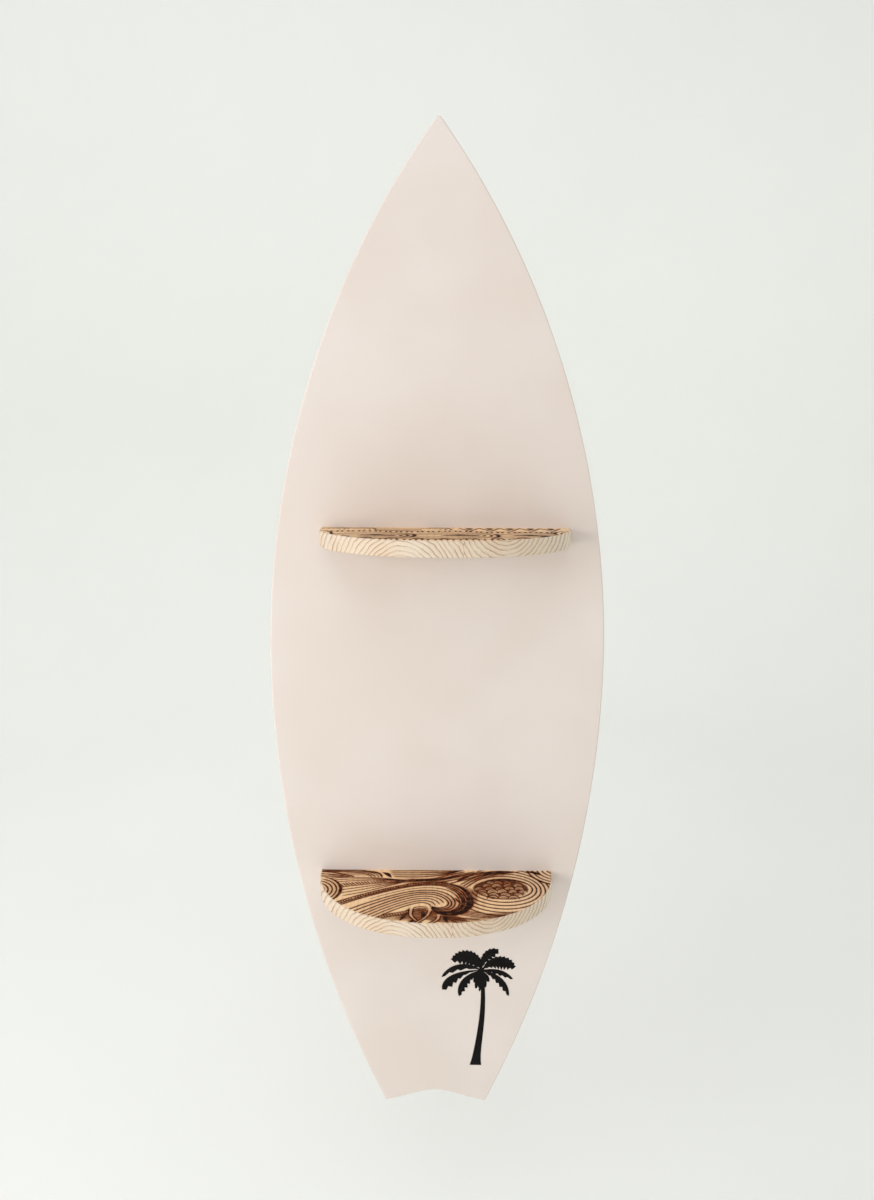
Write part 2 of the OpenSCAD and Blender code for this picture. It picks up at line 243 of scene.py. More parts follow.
def paint_finish():
    """Rolled satin paint on the front and edges, with bare board behind where the roller stopped."""
    material, tree, shader = new_material("blush_paint")
    place = coordinates(tree)
    y = split(tree, place)["Y"]
    broad = noise(tree, place, PAINT_CLOUDS, 2.0)
    stipple = noise(tree, place, PAINT_STIPPLE, 3.0, 0.6)
    roller = noise(tree, coordinates(tree, scale=(1, 1, 0.35)), PAINT_ROLLER, 2.0)
    tone = mix(tree, fade(tree, broad, *FIRM), PAINT, PAINT_SHADE)

    fibre = noise(tree, place, BOARD_FIBRES, 4.0, 0.7)
    flecks = noise(tree, place, BOARD_FLECKS, 2.0)
    cloud = noise(tree, coordinates(tree, scale=(1, 1, 0.4)), BOARD_CLOUDS, 4.0, 0.6)
    sanding = noise(tree, coordinates(tree, scale=(1, 1, 0.02)), BOARD_SANDING, 2.0)
    bare = mix(tree, fade(tree, fibre, *GENTLE), RAW_BOARD, RAW_BOARD_DARK)
    bare = mix(tree, fade(tree, cloud, *FIRM, 0.0, 0.45), bare, RAW_BOARD_DARK)
    bare = mix(tree, fade(tree, sanding, 0.4, 0.7, 0.0, 0.3), bare, RAW_BOARD_PALE)
    bare = mix(tree, fade(tree, flecks, 0.62, 0.72, 0.0, 0.5), bare, RAW_BOARD_DARK)

    ragged = noise(tree, place, PAINT_RAGGED, 4.0, 0.7)
    depth = math_node(tree, "MULTIPLY_ADD", ragged, PAINT_WANDER, y)
    behind = fade(tree, depth, *PAINT_STOP)
    put(tree, mix(tree, behind, tone, bare), shader.inputs["Base Color"])
    gloss = fade(tree, stipple, *GENTLE, 0.42, 0.55)
    put(tree, math_node(tree, "MULTIPLY_ADD", behind, BARE_ROUGHER, gloss), shader.inputs["Roughness"])
    shader.inputs["Specular IOR Level"].default_value = 0.4
    height = math_node(tree, "MULTIPLY_ADD", roller, 0.5, stipple)
    bump(tree, shader, height, PAINT_RELIEF, 0.55)
    return material


# Each stave's ring centre is [across, up] from the shelf's middle, and the joint is where the staves meet.
LEFT_RINGS = (-44 * MM, -31 * MM)
RIGHT_RINGS = (62 * MM, 27 * MM)
STAVE_JOINT = 19 * MM
STAVE_SEAM = 0.25 * MM
SAP_START = 55 * MM              # the right stave pales from here
SAP_FULL = 135 * MM
RING_WANDER = 10 * MM            # how far a ring strays from a true circle
RING_RIPPLE = 1.6 * MM
RING_CROWDING = 0.8              # under 1, so that the rings widen away from their centre
RINGS_PER_STEP = 0.58
RING_SHARPNESS = 5.0             # how suddenly the dark part of a ring comes in
RING_END = 0.97                  # where in a ring its dark part stops
PINE_RELIEF = 0.15 * MM
BURNED_RELIEF = 0.1 * MM
UNDER_BURN = 0.3                 # how strongly the rings show through the oiled top

# noise features in a metre
PINE_BENDS = 28.0
PINE_RIPPLES = 160.0
PINE_FIBRES = 900.0
PINE_CLOUDS = 11.0
PINE_FADING = 45.0
BURN_MOTTLE = 160.0


def pine_colour(tree, shelf, pale, warm, marked=1.0):
    """Growth rings round an axis that runs front to back, on two glued staves. Gives colour and relief."""
    centre = (shelf["x"], 0, shelf["top"] - shelf["thick"] / 2)
    place = coordinates(tree, centre)
    parts = split(tree, place)
    x, z = parts["X"], parts["Z"]
    wander = noise(tree, coordinates(tree, centre, (1, 0.25, 1)), PINE_BENDS, 3.0)

    def ring_distance(rings):
        across = math_node(tree, "SUBTRACT", x, rings[0])
        up = math_node(tree, "SUBTRACT", z, rings[1])
        square = math_node(tree, "MULTIPLY_ADD", across, across, math_node(tree, "MULTIPLY", up, up))
        return math_node(tree, "SQRT", square)

    right_side = fade(tree, x, STAVE_JOINT - 0.1 * MM, STAVE_JOINT + 0.1 * MM)
    left_r = ring_distance(LEFT_RINGS)
    right_r = ring_distance(RIGHT_RINGS)
    gap = math_node(tree, "SUBTRACT", right_r, left_r)
    radius = math_node(tree, "MULTIPLY_ADD", gap, right_side, left_r)
    ripple = noise(tree, coordinates(tree, centre, (1, 0.5, 1)), PINE_RIPPLES, 2.0)
    radius = math_node(tree, "MULTIPLY_ADD", wander, RING_WANDER, radius)
    radius = math_node(tree, "MULTIPLY_ADD", ripple, RING_RIPPLE, radius)
    spread = math_node(tree, "POWER", math_node(tree, "MULTIPLY", radius, 1 / MM), RING_CROWDING)
    phase = math_node(tree, "FRACT", math_node(tree, "MULTIPLY", spread, RINGS_PER_STEP))
    late = math_node(tree, "POWER", phase, RING_SHARPNESS)
    late = math_node(tree, "MULTIPLY", late, fade(tree, phase, RING_END, 1.0, 1.0, 0.0))
    fine = noise(tree, coordinates(tree, centre, (1, 0.03, 1)), PINE_FIBRES, 3.0, 0.7)
    patch = noise(tree, place, PINE_CLOUDS, 2.0)
    base = mix(tree, fade(tree, patch, *GENTLE), pale, warm)
    base = mix(tree, fade(tree, x, SAP_START, SAP_FULL, 0.0, 0.85 * marked), base, PINE_SAP)
    base = mix(tree, fade(tree, fine, 0.45, 0.75, 0.0, 0.22), base, PINE_RING)
    uneven = noise(tree, place, PINE_FADING, 2.0)
    strength = math_node(tree, "MULTIPLY", late, fade(tree, uneven, 0.3, 0.6, 0.4 * marked, marked))
    colour = mix(tree, strength, base, PINE_RING)
    seam = math_node(tree, "ABSOLUTE", math_node(tree, "SUBTRACT", x, STAVE_JOINT))
    colour = mix(tree, fade(tree, seam, 0.2 * STAVE_SEAM, STAVE_SEAM, 0.4, 0.0), colour, PINE_RING)
    relief = math_node(tree, "MULTIPLY_ADD", late, 0.5, fine)
    return colour, relief


def pine_finish(name, shelf):
    """Bare planed pine, as on the shelf's edge and underside."""
    material, tree, shader = new_material(name)
    colour, relief = pine_colour(tree, shelf, PINE_PALE, PINE_WARM)
    put(tree, colour, shader.inputs["Base Color"])
    shader.inputs["Roughness"].default_value = 0.55
    shader.inputs["Specular IOR Level"].default_value = 0.35
    bump(tree, shader, relief, PINE_RELIEF, 0.5)
    return material


def burned_finish(name, shelf):
    """Oiled pine with the burned drawing, from the face's own line and scorch values."""
    material, tree, shader = new_material(name)
    colour, relief = pine_colour(tree, shelf, HONEY, HONEY, UNDER_BURN)
    line = tree.nodes.new("ShaderNodeAttribute")
    line.attribute_name = "burn_line"
    scorch = tree.nodes.new("ShaderNodeAttribute")
    scorch.attribute_name = "scorch"
    place = coordinates(tree)
    mottle = noise(tree, place, BURN_MOTTLE, 3.0)
    patchy = fade(tree, mottle, *GENTLE, 0.75, 1.1)
    tan = math_node(tree, "MULTIPLY", scorch.outputs["Fac"], patchy, clamp=True)
    colour = mix(tree, tan, colour, SCORCH)
    worn = fade(tree, mottle, 0.25, 0.6, 0.82, 1.0)
    dark = math_node(tree, "MULTIPLY", line.outputs["Fac"], worn, clamp=True)
    colour = mix(tree, dark, colour, BURN)
    put(tree, colour, shader.inputs["Base Color"])
    put(tree, fade(tree, line.outputs["Fac"], 0.0, 1.0, 0.5, 0.85), shader.inputs["Roughness"])
    shader.inputs["Specular IOR Level"].default_value = 0.12
    bump(tree, shader, relief, BURNED_RELIEF, 0.4)
    return material


# noise features in a metre, and how high the relief stands
VINYL_PEEL = 240.0
VINYL_CLOUDS = 20.0
VINYL_RELIEF = 0.06 * MM
ZINC_SPANGLE = 420.0
ZINC_BRUSHING = 2600.0
ZINC_RELIEF = 0.03 * MM
ZINC_ROUGHNESS_SPAN = 0.14
BEECH_FLECKS = 1500.0
BEECH_RELIEF = 0.05 * MM


def vinyl_finish():
    """Matt black film with the faint relief of the paint under it."""
    material, tree, shader = new_material("black_vinyl")
    place = coordinates(tree)
    peel = noise(tree, place, VINYL_PEEL, 2.0)
    broad = noise(tree, place, VINYL_CLOUDS, 2.0)
    put(tree, mix(tree, broad, VINYL, VINYL_WORN), shader.inputs["Base Color"])
    put(tree, fade(tree, peel, *GENTLE, 0.5, 0.65), shader.inputs["Roughness"])
    shader.inputs["Specular IOR Level"].default_value = 0.12
    bump(tree, shader, peel, VINYL_RELIEF, 0.4)
    return material


def steel_finish(name, light, dark, rough):
    """Zinc plate: a soft spangle over fine brushing."""
    material, tree, shader = new_material(name)
    place = coordinates(tree)
    spangle = noise(tree, place, ZINC_SPANGLE, 2.0)
    brushed = noise(tree, coordinates(tree, scale=(1, 1, 0.04)), ZINC_BRUSHING, 2.0)
    put(tree, mix(tree, fade(tree, spangle, *GENTLE), light, dark), shader.inputs["Base Color"])
    put(tree, fade(tree, brushed, *GENTLE, rough, rough + ZINC_ROUGHNESS_SPAN), shader.inputs["Roughness"])
    shader.inputs["Metallic"].default_value = 1.0
    bump(tree, shader, brushed, ZINC_RELIEF, 0.5)
    return material


def beech_finish():
    """Bare beech whose flecks run along the dowel."""
    material, tree, shader = new_material("beech_dowel")
    flecks = noise(tree, coordinates(tree, scale=(1, 0.08, 1)), BEECH_FLECKS, 3.0)
    colour = mix(tree, fade(tree, flecks, 0.35, 0.7), BEECH, BEECH_FLECK)
    put(tree, colour, shader.inputs["Base Color"])
    shader.inputs["Roughness"].default_value = 0.6
    bump(tree, shader, flecks, BEECH_RELIEF, 0.5)
    return material


def dress(node, material):
    """Gives a CAD piece its one material."""
    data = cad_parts[node].data
    data.materials.clear()
    data.materials.append(material)


def dress_nodes():
    """Every CAD piece keeps its own mesh and gets its finish."""
    dress("board_panel", paint_finish())
    dress("upper_shelf", pine_finish("upper_pine", upper))
    dress("lower_shelf", pine_finish("lower_pine", lower))
    dress("palm_decal", vinyl_finish())
    yellow_zinc = steel_finish("yellow_zinc", YELLOW_ZINC, YELLOW_ZINC_DARK, 0.3)
    for node in ("upper_shelf_screws", "lower_shelf_screws", "keyhole_plate_screws"):
        dress(node, yellow_zinc)
    bright_zinc = steel_finish("bright_zinc", BRIGHT_ZINC, BRIGHT_ZINC_DARK, 0.28)
    for node in ("left_keyhole_plate", "right_keyhole_plate"):
        dress(node, bright_zinc)
    beech = beech_finish()
    for node in ("upper_shelf_dowels", "lower_shelf_dowels"):
        dress(node, beech)


dress_nodes()

# ---------------------------------------------------------------- the burned drawing
# A drawing is a list of strokes on a shelf's top, in millimetres: u runs right from the middle of the
# shelf and v runs out from the board. Each stroke is (points, width, how dark it is). A width may be
# a row of widths along the stroke, and a negative darkness leaves bare wood over earlier strokes.

DRAW_STEP = 0.5             # millimetres between the samples of a stroke
LINE = 1.9                  # millimetres, the burner's usual line
BARE = -1.0
SMOKE = 0.32                # the darkness of a broad, lightly burned patch


def even(points, count=160):
    """The same line with its points evenly spread."""
    steps = np.linalg.norm(np.diff(points, axis=0), axis=1)
    along = np.concatenate([[0], np.cumsum(steps)])
    want = np.linspace(0, along[-1], count)
    return np.column_stack([np.interp(want, along, points[:, k]) for k in (0, 1)])


def through(*points):
    """A smooth line through the points."""
    p = np.array(points, float)
    p = np.vstack([2 * p[0] - p[1], p, 2 * p[-1] - p[-2]])
    t = np.linspace(0, 1, 16, endpoint=False)[:, None]
    spans = []
    for a, b, c, d in zip(p, p[1:], p[2:], p[3:]):
        curve = 2 * b + (c - a) * t + (2 * a - 5 * b + 4 * c - d) * t ** 2 + (3 * b - a - 3 * c + d) * t ** 3
        spans.append(curve / 2)
    return even(np.vstack([*spans, p[-2:-1]]))


def arc(centre, across, out, start, end, count=80):
    """Part of an ellipse, with its angles in degrees from +u towards +v."""
    a = np.radians(np.linspace(start, end, count))
    return np.column_stack([centre[0] + across * np.cos(a), centre[1] + out * np.sin(a)])


def between(first, last, share):
    """The line that lies share of the way from one guide line to another."""
    return (1 - share) * first + share * last


def bands(first, last, count, width=LINE, dark=1.0):
    """Evenly spaced strokes from one guide line to another, both included."""
    return [(between(first, last, share), width, dark) for share in np.linspace(0, 1, count)]


def rungs(first, last, gap, width=LINE, dark=1.0):
    """Short strokes across the strip between two lines."""
    length = np.linalg.norm(np.diff(first, axis=0), axis=1).sum()
    strokes = []
    for share in np.linspace(0.01, 0.99, max(2, int(length / gap))):
        i = int(share * (len(first) - 1))
        strokes.append((even(np.array([first[i], last[i]]), 8), width, dark))
    return strokes


def scale_shape(centre, across, out):
    """A bare half-moon scale with a heavy outline, a light inner one and a dark foot."""
    body = [(arc(centre, share * across, share * out, 180, 360, 40), 0.5 * across, BARE)
            for share in (0.3, 0.75)]
    edge = [(arc(centre, across, out, 182, 358, 50), (1.2, 2.0, 1.2), 1.0)]
    inner = [(arc(centre, 0.55 * across, 0.55 * out, 185, 355, 30), 1.2, 0.9)]
    foot = [(arc(centre, 0.2 * across, 0.15 * out, 180, 360, 12), 1.6, 1.0)]
    return body + edge + inner + foot


def scales(centre, across, out, size, grow, seed):
    """Rows of overlapping scales on burned ground that fill an oval, larger towards the front."""
    random = np.random.default_rng(seed)
    strokes = []
    for v in np.arange(-out, out, 2.0):
        half = across * math.sqrt(max(0.0, 1 - (v / out) ** 2))
        ground = np.array([[centre[0] - half, centre[1] + v], [centre[0] + half, centre[1] + v]])
        strokes.append((ground, 2.6, 0.85))
    v = -0.85 * out
    row = 0
    while v < 0.95 * out:
        share = (v + out) / (2 * out)
        wide = size * (1 + grow * share)
        half = 0.94 * across * math.sqrt(max(0.0, 1 - (v / out) ** 2))
        count = max(1, round(2 * half / (2.1 * wide)))
        for k in range(count):
            u = (k + 0.5 + 0.3 * (row % 2 - 0.5)) * 2 * half / count - half
            du, dv = random.uniform(-0.7, 0.7, 2)
            fit = random.uniform(0.8, 1.0)
            foot = (centre[0] + u + du, centre[1] + v + dv + wide)
            strokes += scale_shape(foot, fit * wide, 1.25 * fit * wide)
        v += 1.15 * wide
        row += 1
    return strokes


def cleared(line, width):
    """Bare wood along a line, over what was drawn before."""
    return [(even(np.array(line, float)), width, BARE)]


def shell(centre, radii, start, end, edge=2.6):
    """Nested arcs with a heavier outer one, over whatever they cover."""
    strokes = cleared((centre, (centre[0] + 0.1, centre[1])), 2 * radii[-1])
    strokes += [(arc(centre, r, r, start, end), LINE, 1.0) for r in radii[:-1]]
    return strokes + [(arc(centre, radii[-1], radii[-1], start, end), (1.2, edge, 1.2), 1.0)]


def wave_drawing():
    """A breaking wave between a shell and a pool of scales, under long combed strands."""
    strokes = [
        (through((-72, 27), (-30, 27), (14, 30)), (3, 13, 5), SMOKE),
        (through((-72, 114), (-44, 107), (-22, 114)), (5, 15, 6), SMOKE),
        (through((26, 36), (42, 52), (46, 78)), (4, 11, 4), SMOKE),
        (through((14, 108), (46, 111), (84, 104)), (4, 11, 4), SMOKE),
        (through((40, 30), (64, 14), (96, 8)), (3, 9, 3), SMOKE),
        (through((-132, 14), (-100, 11), (-74, 15)), (3, 8, 3), SMOKE),
    ]

    # the strands along the back
    strokes += bands(through((-58, 3), (-20, 2), (14, 2), (34, 1)),
                     through((-52, 17), (-20, 17), (8, 12), (26, 4)), 4)
    strokes += bands(through((-34, 24), (-4, 21), (16, 12), (36, 4)),
                     through((16, 33), (34, 24), (56, 12), (84, 3)), 5)
    strokes += [(through((-34, 26), (0, 23), (30, 14), (52, 5)), (1.2, 4.0, 1.2), 1.0)]
    strokes += [(through((24, 30), (34, 19), (48, 9)), (1.0, 5.0, 1.0), 1.0)]
    strokes += [(through((-67, 6), (-60, 11), (-55, 19)), (1.0, 6.0, 1.5), 1.0)]
    strokes += bands(through((36, 42), (52, 24), (76, 9), (104, 3)),
                     through((30, 35), (46, 19), (66, 7), (90, 2)), 3)

    # two rolled tips and the combed leaf at the left
    strokes += bands(through((-146, 1), (-112, 0), (-86, 3), (-70, 10), (-66, 19)),
                     through((-140, 6), (-112, 6), (-92, 9), (-82, 14), (-79, 19)), 4, 1.3)
    strokes += [(through((-96, 3), (-80, 5), (-70, 10), (-66, 19)), (1.2, 3.6, 2.0), 1.0)]
    strokes += bands(through((-146, 5), (-126, 8), (-106, 15), (-100, 19)),
                     through((-146, 16), (-128, 17), (-110, 19)), 3)
    leaf_top = through((-142, 23), (-104, 19), (-66, 21), (-36, 26))
    leaf_low = through((-110, 62), (-84, 52), (-58, 39), (-36, 28))
    strokes += bands(leaf_top, between(leaf_top, leaf_low, 0.25), 3, 1.3)
    strokes += rungs(between(leaf_top, leaf_low, 0.34)[22:112],
                     between(leaf_top, leaf_low, 0.52)[24:114], 3.4, 1.8)
    strokes += bands(between(leaf_top, leaf_low, 0.56), leaf_low, 4, 1.4)
    strokes += [(through((-78, 22), (-56, 24), (-34, 27), (-4, 26)), (1.0, 3.6, 1.5), 1.0)]

    # the shell at the left
    strokes += shell((-146, 50), (7, 12, 17, 22, 27, 32), -75, 75, 4.0)

    # the great wave
    crest = through((-128, 84), (-100, 66), (-74, 52), (-50, 41), (-24, 32), (2, 30), (22, 36), (35, 48),
                    (41, 66), (39, 84), (29, 97), (14, 101), (2, 97), (-5, 89))
    hollow = through((-96, 106), (-74, 88), (-53, 73), (-33, 62), (-14, 57), (0, 59), (10, 66),
                     (15, 76), (12, 84), (5, 87), (-1, 86), (-4, 84))
    strokes += [(between(crest, hollow, share), LINE, 1.0) for share in (0.0, 0.13, 0.22, 0.62, 0.8, 1.0)]
    strokes += rungs(between(crest, hollow, 0.0)[:104], between(crest, hollow, 0.13)[:104], 3.6, 1.5)
    strokes += [(between(crest, hollow, 0.42)[30:], (0.8, 1.4, 2.0), 1.0)]
    strokes += [(crest[78:], (1.5, 3.0, 6.0, 7.5, 5.0, 2.0), 1.0)]
    strokes += [(between(crest, hollow, 0.3)[96:], (1.0, 3.2, 3.2, 1.0), 1.0)]

    # the wave inside it
    curl = through((-72, 112), (-50, 94), (-32, 82), (-17, 76), (-8, 79), (-5, 85))
    strokes += bands(even(hollow[:132]), curl, 5, 1.6)[1:]
    rail = through((-78, 116), (-60, 103), (-42, 97), (-28, 92))
    strokes += rungs(rail, rail + (3, 5), 3.0, 1.5) + [(rail, 1.2, 1.0), (rail + (3, 5), 1.4, 1.0)]
    strokes += bands(through((-34, 93), (-20, 85), (-9, 86)), through((-30, 98), (-18, 92), (-7, 92)), 3, 1.5)

    # the burned ground, the stems and the rays at the front
    strokes += [(through((-44, 110), (-20, 100), (6, 106), (34, 114)), (6, 20, 22, 8), 0.55)]
    wedges = (((-34, 100), (-40, 114)), ((-14, 96), (-15, 112)),
              ((10, 106), (14, 118)), ((-26, 114), (-30, 121)))
    for wedge in wedges:
        strokes += [(even(np.array(wedge, float), 16), (7.0, 1.5), 1.0)]
    for root, tip, bow in (((-28, 88), (-17, 120), -5), ((-6, 92), (-24, 121), 4), ((4, 103), (-6, 120), 3)):
        middle = ((root[0] + tip[0]) / 2 + bow, (root[1] + tip[1]) / 2)
        line = through(root, middle, tip)
        strokes += cleared(line, 4.8) + [(line - (2.4, 0), LINE, 1.0), (line + (2.4, 0), LINE, 1.0)]
    strokes += bands(through((8, 104), (24, 108), (50, 111)), through((12, 108), (20, 114), (28, 119)), 3)
    strokes += bands(through((28, 101), (50, 106), (72, 107)), through((36, 94), (62, 99), (92, 98)), 4, 1.3)

    # the pool of scales
    pool = (82, 44)
    strokes += scales((78, 44), 33, 21, 5.2, 0.4, 5)
    for grow in np.linspace(0, 1, 6):
        rim = (pool[0] - 1.5 * grow, pool[1] + 2 * grow)
        ring = arc(rim, 34 + 27 * grow, 23 + 34 * grow, -128 + 6 * grow, 172 - 12 * grow, 160)
        strokes.append((ring, LINE, 1.0))
    strokes += [(arc(pool, 34, 22, -140, -20, 60), (1.5, 4.5, 1.5), 1.0)]
    strokes += [(arc((80, 45), 62, 42, -40, 20, 60), (1.5, 3.5, 1.5), 1.0)]

    # the fan at the right
    strokes += shell((152, -4), (14, 20, 26, 32, 38), 80, 190, 3.2)
    strokes += [(through((112, 2), (122, 5), (132, 12)), (2.0, 5.0, 1.5), 1.0)]
    return strokes


def teeth(start, end, near, far, count, width):
    """A zigzag along the shelf between two distances from the board, with a burned wedge in each tooth."""
    steps = 2 * count + 1
    u = np.linspace(start, end, steps)
    v = np.where(np.arange(steps) % 2, far, near)
    strokes = [(even(np.column_stack([u, v]), 60 * count), width, 1.0)]
    for k in range(1, steps, 2):
        wedge = np.array([[u[k], near + 2.0], [u[k], far - 0.45 * (far - near)]])
        strokes.append((even(wedge, 12), (0.5 * (end - start) / count, 1.5), 1.0))
    return strokes


def current_drawing():
    """Nested points that run to the right between roped ribbons, with teeth along the back."""
    strokes = [
        (through((-80, 22), (-50, 28), (-20, 22)), (4, 10, 4), SMOKE),
        (through((-60, 100), (-20, 104), (20, 104)), (4, 9, 4), SMOKE),
    ]
    # the strands and the rope along the back
    back_rail = through((-140, 40), (-90, 34), (-40, 42), (10, 34), (60, 46), (128, 44))
    back_line = through((-142, 8), (-90, 4), (-40, 12), (10, 4), (60, 8), (130, 4))
    strokes += bands(back_rail - (0, 7), back_line, 4, 2.0)
    strokes += cleared(((20, 20), (128, 20)), 36)
    strokes += teeth(16, 132, 6, 34, 5, 2.6)
    for u in (-124, -96, -10):
        strokes += shell((u, 20), (5, 11, 17), -160, 20, 4.0)
    strokes += rungs(back_rail - (0, 3), back_rail + (0, 6), 6.0, 2.8)
    strokes += [(back_rail - (0, 4), 1.6, 1.0), (back_rail + (0, 7), 1.6, 1.0)]

    # three heads of nested points
    for head, reach in ((108, 56), (32, 82), (-58, 78)):
        strokes += cleared(((head - 0.6 * reach, 76), (head - 14, 76)), 52)
        for share in np.linspace(0, 1, 4):
            spread = 6 + 22 * share
            tip = head + 21 * share
            line = through((head - reach, 76 - 0.4 * spread), (head - 0.4 * reach, 76 - 0.95 * spread),
                           (tip - 5, 76 - 0.65 * spread), (tip + 4, 76), (tip - 5, 76 + 0.65 * spread),
                           (head - 0.4 * reach, 76 + 0.95 * spread), (head - reach, 76 + 0.5 * spread))
            strokes.append((line, (1.2, 4.2, 1.2) if share == 1 else (1.4, 3.0, 1.4), 1.0))
        strokes += [(through((head - 36, 76), (head - 18, 72), (head + 2, 76)), (2.0, 11.0, 2.0), 1.0)]

    # the rope and the dark scallops along the front
    front_rail = through((-118, 84), (-76, 102), (0, 109), (76, 102), (118, 84))
    strokes += rungs(front_rail, front_rail + (0, 8), 6.4, 3.0) + [(front_rail, 2.0, 1.0)]
    for share in np.linspace(0.05, 0.95, 9):
        u, v = front_rail[int(share * (len(front_rail) - 1))]
        strokes += [(arc((u, v + 1), 6, 9, 190, 350, 30), (2.0, 5.0, 2.0), 1.0)]
    strokes += shell((150, 56), (9, 16, 23, 30), 120, 250, 4.0)
    strokes += shell((-154, 60), (9, 16, 23, 30), -60, 70, 4.0)
    return strokes


FACE_STEP = 0.6             # millimetres between the points of a burned face
FACE_INSET = 1.4            # millimetres from the shelf's outline to the face's edge
FACE_FULLNESS = 2.2         # 2 is a true ellipse
FACE_PROUD = 0.25 * MM
FACE_SUNK = 0.3 * MM
GROOVE = 0.2 * MM
SCORCH_CLOSE = (1.6, 0.12, 1.6)     # millimetres that it spreads, where it starts to show, its gain
SCORCH_BROAD = (7.0, 0.42, 1.2)
LOWER_TOAST = 1.0
UPPER_TOAST = 0.6                   # the upper top is burned more lightly


def burn_map(strokes, half, depth):
    """How burned each point of a grid over the shelf is, from 0 to 1."""
    columns = int(round(2 * half / FACE_STEP)) + 1
    rows = int(round(depth / FACE_STEP)) + 1
    burned = np.zeros((columns, rows))
    for line, width, dark in strokes:
        length = np.linalg.norm(np.diff(line, axis=0), axis=1).sum()
        samples = even(line, max(4, int(length / DRAW_STEP)))
        share = np.linspace(0, 1, len(samples))
        widths = np.interp(share, np.linspace(0, 1, np.size(width)), np.atleast_1d(width))
        ends = np.clip(np.minimum(share, 1 - share) * length / 5, 0, 1) ** 0.5 if dark > 0 else 1.0
        for (u, v), wide in zip(samples, widths * (0.4 + 0.6 * ends)):
            reach = int(wide / 2 / FACE_STEP) + 2
            i, j = int(round((u + half) / FACE_STEP)), int(round(v / FACE_STEP))
            low_i, high_i = max(i - reach, 0), min(i + reach + 1, columns)
            low_j, high_j = max(j - reach, 0), min(j + reach + 1, rows)
            if low_i >= high_i or low_j >= high_j:
                continue
            du = np.arange(low_i, high_i)[:, None] * FACE_STEP - half - u
            dv = np.arange(low_j, high_j)[None, :] * FACE_STEP - v
            mark = abs(dark) * np.clip((wide / 2 + 0.35 - np.hypot(du, dv)) / 0.6, 0, 1)
            patch = burned[low_i:high_i, low_j:high_j]
            if dark > 0:
                np.maximum(patch, mark, out=patch)
            else:
                np.minimum(patch, 1 - mark, out=patch)
    return burned


def blurred(grid, spread):
    """The grid softened over spread millimetres."""
    reach = int(3 * spread / FACE_STEP)
    weights = np.exp(-0.5 * (np.arange(-reach, reach + 1) * FACE_STEP / spread) ** 2)
    weights /= weights.sum()
    for axis in (0, 1):
        grid = np.apply_along_axis(lambda row: np.convolve(row, weights, "same"), axis, grid)
    return grid


def scorched(burned, spread, start, gain):
    """How brown the heat has made the wood round what is burned."""
    return gain * np.clip(blurred(burned, spread) - start, 0, 1)


def add_burned_face(name, shelf, strokes, toast):
    """A thin face on the shelf's top that carries the drawing as colour and as shallow grooves."""
    half = shelf["half"] / MM
    depth = shelf["depth"] / MM
    burned = burn_map(strokes, half, depth)
    scorch = toast * np.clip(scorched(burned, *SCORCH_CLOSE) + scorched(burned, *SCORCH_BROAD), 0, 1)

    columns, rows = burned.shape
    made = bmesh.new()
    bmesh.ops.create_grid(made, x_segments=columns - 1, y_segments=rows - 1, size=1.0)
    bmesh.ops.scale(made, vec=(half, depth / 2, 1), verts=made.verts)
    bmesh.ops.translate(made, vec=(0, depth / 2, 0), verts=made.verts)
    a, b = half - FACE_INSET, depth - FACE_INSET

    def fullness(v):
        return (abs(v.co.x) / a) ** FACE_FULLNESS + (abs(v.co.y) / b) ** FACE_FULLNESS

    outside = [v for v in made.verts if fullness(v) > 1]
    bmesh.ops.delete(made, geom=outside, context="VERTS")
    for v in made.verts:
        if v.is_boundary and v.co.y > 0.01:
            v.co *= fullness(v) ** (-1 / FACE_FULLNESS)
    line_layer = made.verts.layers.float.new("burn_line")
    scorch_layer = made.verts.layers.float.new("scorch")
    for v in made.verts:
        i = min(max(int(round((v.co.x + half) / FACE_STEP)), 0), columns - 1)
        j = min(max(int(round(v.co.y / FACE_STEP)), 0), rows - 1)
        v[line_layer] = burned[i, j]
        v[scorch_layer] = scorch[i, j]
        height = shelf["top"] + FACE_PROUD - GROOVE * burned[i, j]
        v.co = (shelf["x"] + v.co.x * MM, front_y - v.co.y * MM, height)
    bmesh.ops.recalc_face_normals(made, faces=made.faces)
    rim = [e for e in made.edges if e.is_boundary]
    down = bmesh.ops.extrude_edge_only(made, edges=rim)["geom"]
    floor_z = shelf["top"] - FACE_SUNK
    for v in (g for g in down if isinstance(g, bmesh.types.BMVert)):
        v.co.z = floor_z
    loop = [g for g in down if isinstance(g, bmesh.types.BMEdge) and g.is_boundary]
    bmesh.ops.edgeloop_fill(made, edges=loop)
    bmesh.ops.recalc_face_normals(made, faces=made.faces)
    bmesh.ops.triangulate(made, faces=[f for f in made.faces if len(f.verts) > 4])
    data = bpy.data.meshes.new(name)
    made.to_mesh(data)
    made.free()
    data.materials.append(burned_finish(name + "_finish", shelf))
    for polygon in data.polygons:
        polygon.use_smooth = True
    piece = bpy.data.objects.new(name, data)
    bpy.context.scene.collection.objects.link(piece)
    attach(piece, "root")


add_burned_face("lower_burned_face", lower, wave_drawing(), LOWER_TOAST)
add_burned_face("upper_burned_face", upper, current_drawing(), UPPER_TOAST)

# ---------------------------------------------------------------- floor, backdrop and light

STAGE_RADIUS = 3.6
STAGE_CORNER = 1.2
STAGE_WALL = 3.4
FLOOR_BELOW_TAIL = 0.30
STAGE_COLOUR = rgb(247, 248, 245)
STAGE_CLOUD = rgb(244, 245, 242)
CORNER_STEPS = 12
STAGE_SIDES = 96
RIM_COLOUR = rgb(230, 233, 227)


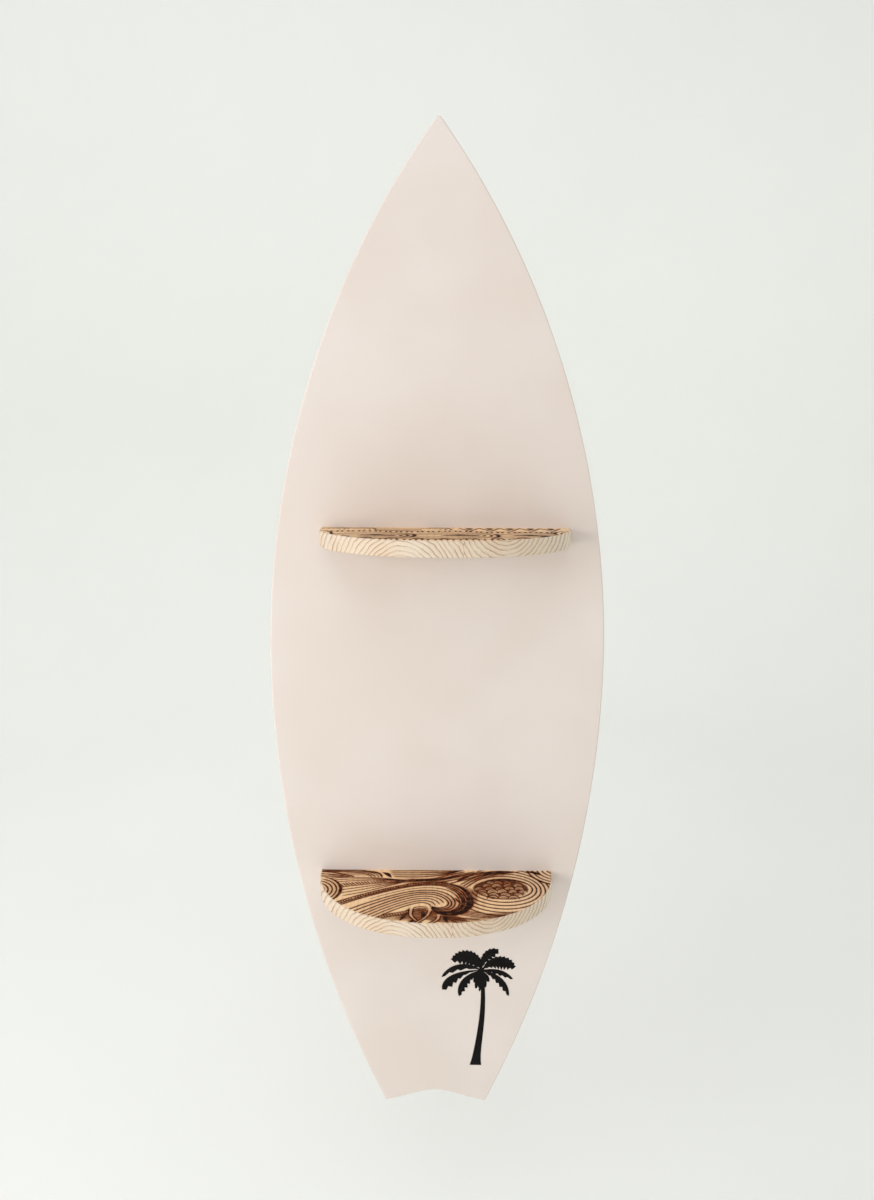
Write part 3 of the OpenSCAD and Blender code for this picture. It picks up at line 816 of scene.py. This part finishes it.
def add_stage():
    """A round pale floor that curves up into a backdrop all round."""
    floor_z = tail_z - FLOOR_BELOW_TAIL
    made = bmesh.new()
    profile = [(0, 0), (STAGE_RADIUS - STAGE_CORNER, 0)]
    for k in range(1, CORNER_STEPS + 1):
        a = math.radians(90 * k / CORNER_STEPS)
        profile.append((STAGE_RADIUS - STAGE_CORNER * (1 - math.sin(a)), STAGE_CORNER * (1 - math.cos(a))))
    profile.append((STAGE_RADIUS, STAGE_WALL))
    points = [made.verts.new((r, 0, floor_z + h)) for r, h in profile]
    edges = [made.edges.new(pair) for pair in zip(points, points[1:])]
    bmesh.ops.spin(made, geom=points + edges, cent=(0, 0, 0), axis=(0, 0, 1), dvec=(0, 0, 0),
                   angle=2 * math.pi, steps=STAGE_SIDES, use_merge=True)
    bmesh.ops.remove_doubles(made, verts=made.verts, dist=1e-5)
    bmesh.ops.recalc_face_normals(made, faces=made.faces)
    bmesh.ops.reverse_faces(made, faces=made.faces)
    data = bpy.data.meshes.new("studio_floor")
    made.to_mesh(data)
    made.free()
    for polygon in data.polygons:
        polygon.use_smooth = True
    material, tree, shader = new_material("studio_paper")
    grain = noise(tree, coordinates(tree), 2.0, 2.0)
    put(tree, mix(tree, grain, STAGE_COLOUR, STAGE_CLOUD), shader.inputs["Base Color"])
    shader.inputs["Roughness"].default_value = 0.9
    shader.inputs["Specular IOR Level"].default_value = 0.1
    data.materials.append(material)
    floor = bpy.data.objects.new("studio_floor", data)
    bpy.context.scene.collection.objects.link(floor)


def add_light(name, place, aim, size, power, colour):
    """A round soft light that the lens doesn't see."""
    data = bpy.data.lights.new(name, "AREA")
    data.shape = "DISK"
    data.size = size
    data.energy = power
    data.color = colour
    light = bpy.data.objects.new(name, data)
    bpy.context.scene.collection.objects.link(light)
    light.location = place
    light.rotation_euler = (Vector(aim) - Vector(place)).to_track_quat("-Z", "Y").to_euler()
    light.visible_camera = False


def add_world():
    """Even light from all round."""
    world = bpy.data.worlds.new("studio_air")
    world.use_nodes = True
    tree = world.node_tree
    air = tree.nodes["Background"]
    air.inputs["Color"].default_value = (*WHITE, 1)
    air.inputs["Strength"].default_value = AIR_STRENGTH
    # past the backdrop's rim the lens sees the backdrop's own tone
    beyond = tree.nodes.new("ShaderNodeBackground")
    beyond.inputs["Color"].default_value = RIM_COLOUR
    choose = tree.nodes.new("ShaderNodeMixShader")
    seen = tree.nodes.new("ShaderNodeLightPath")
    tree.links.new(seen.outputs["Is Camera Ray"], choose.inputs["Fac"])
    tree.links.new(air.outputs["Background"], choose.inputs[1])
    tree.links.new(beyond.outputs["Background"], choose.inputs[2])
    tree.links.new(choose.outputs["Shader"], tree.nodes["World Output"].inputs["Surface"])
    bpy.context.scene.world = world


WHITE = (1.0, 1.0, 1.0)
DAYLIGHT = (1.0, 0.995, 0.985)
AIR_STRENGTH = 0.63
MIDDLE = (0, -0.05, (nose_z + tail_z) / 2)
BACKDROP_MIDDLE = (-0.6, STAGE_RADIUS, 0.4)

# name, place, what it faces, metres across, watts, colour
LIGHTS = (
    ("window_left", (-1.6, -1.45, -0.1), MIDDLE, 1.5, 23, DAYLIGHT),
    ("ceiling", (-0.4, -1.7, 1.9), MIDDLE, 2.4, 12, WHITE),
    ("backdrop", (-0.4, 0.9, 2.0), BACKDROP_MIDDLE, 2.0, 14, WHITE),
    ("behind", (-1.2, 2.4, 1.4), MIDDLE, 1.8, 8, WHITE),
)

add_stage()
add_world()
for light in LIGHTS:
    add_light(*light)

bpy.context.scene.view_settings.view_transform = "Standard"
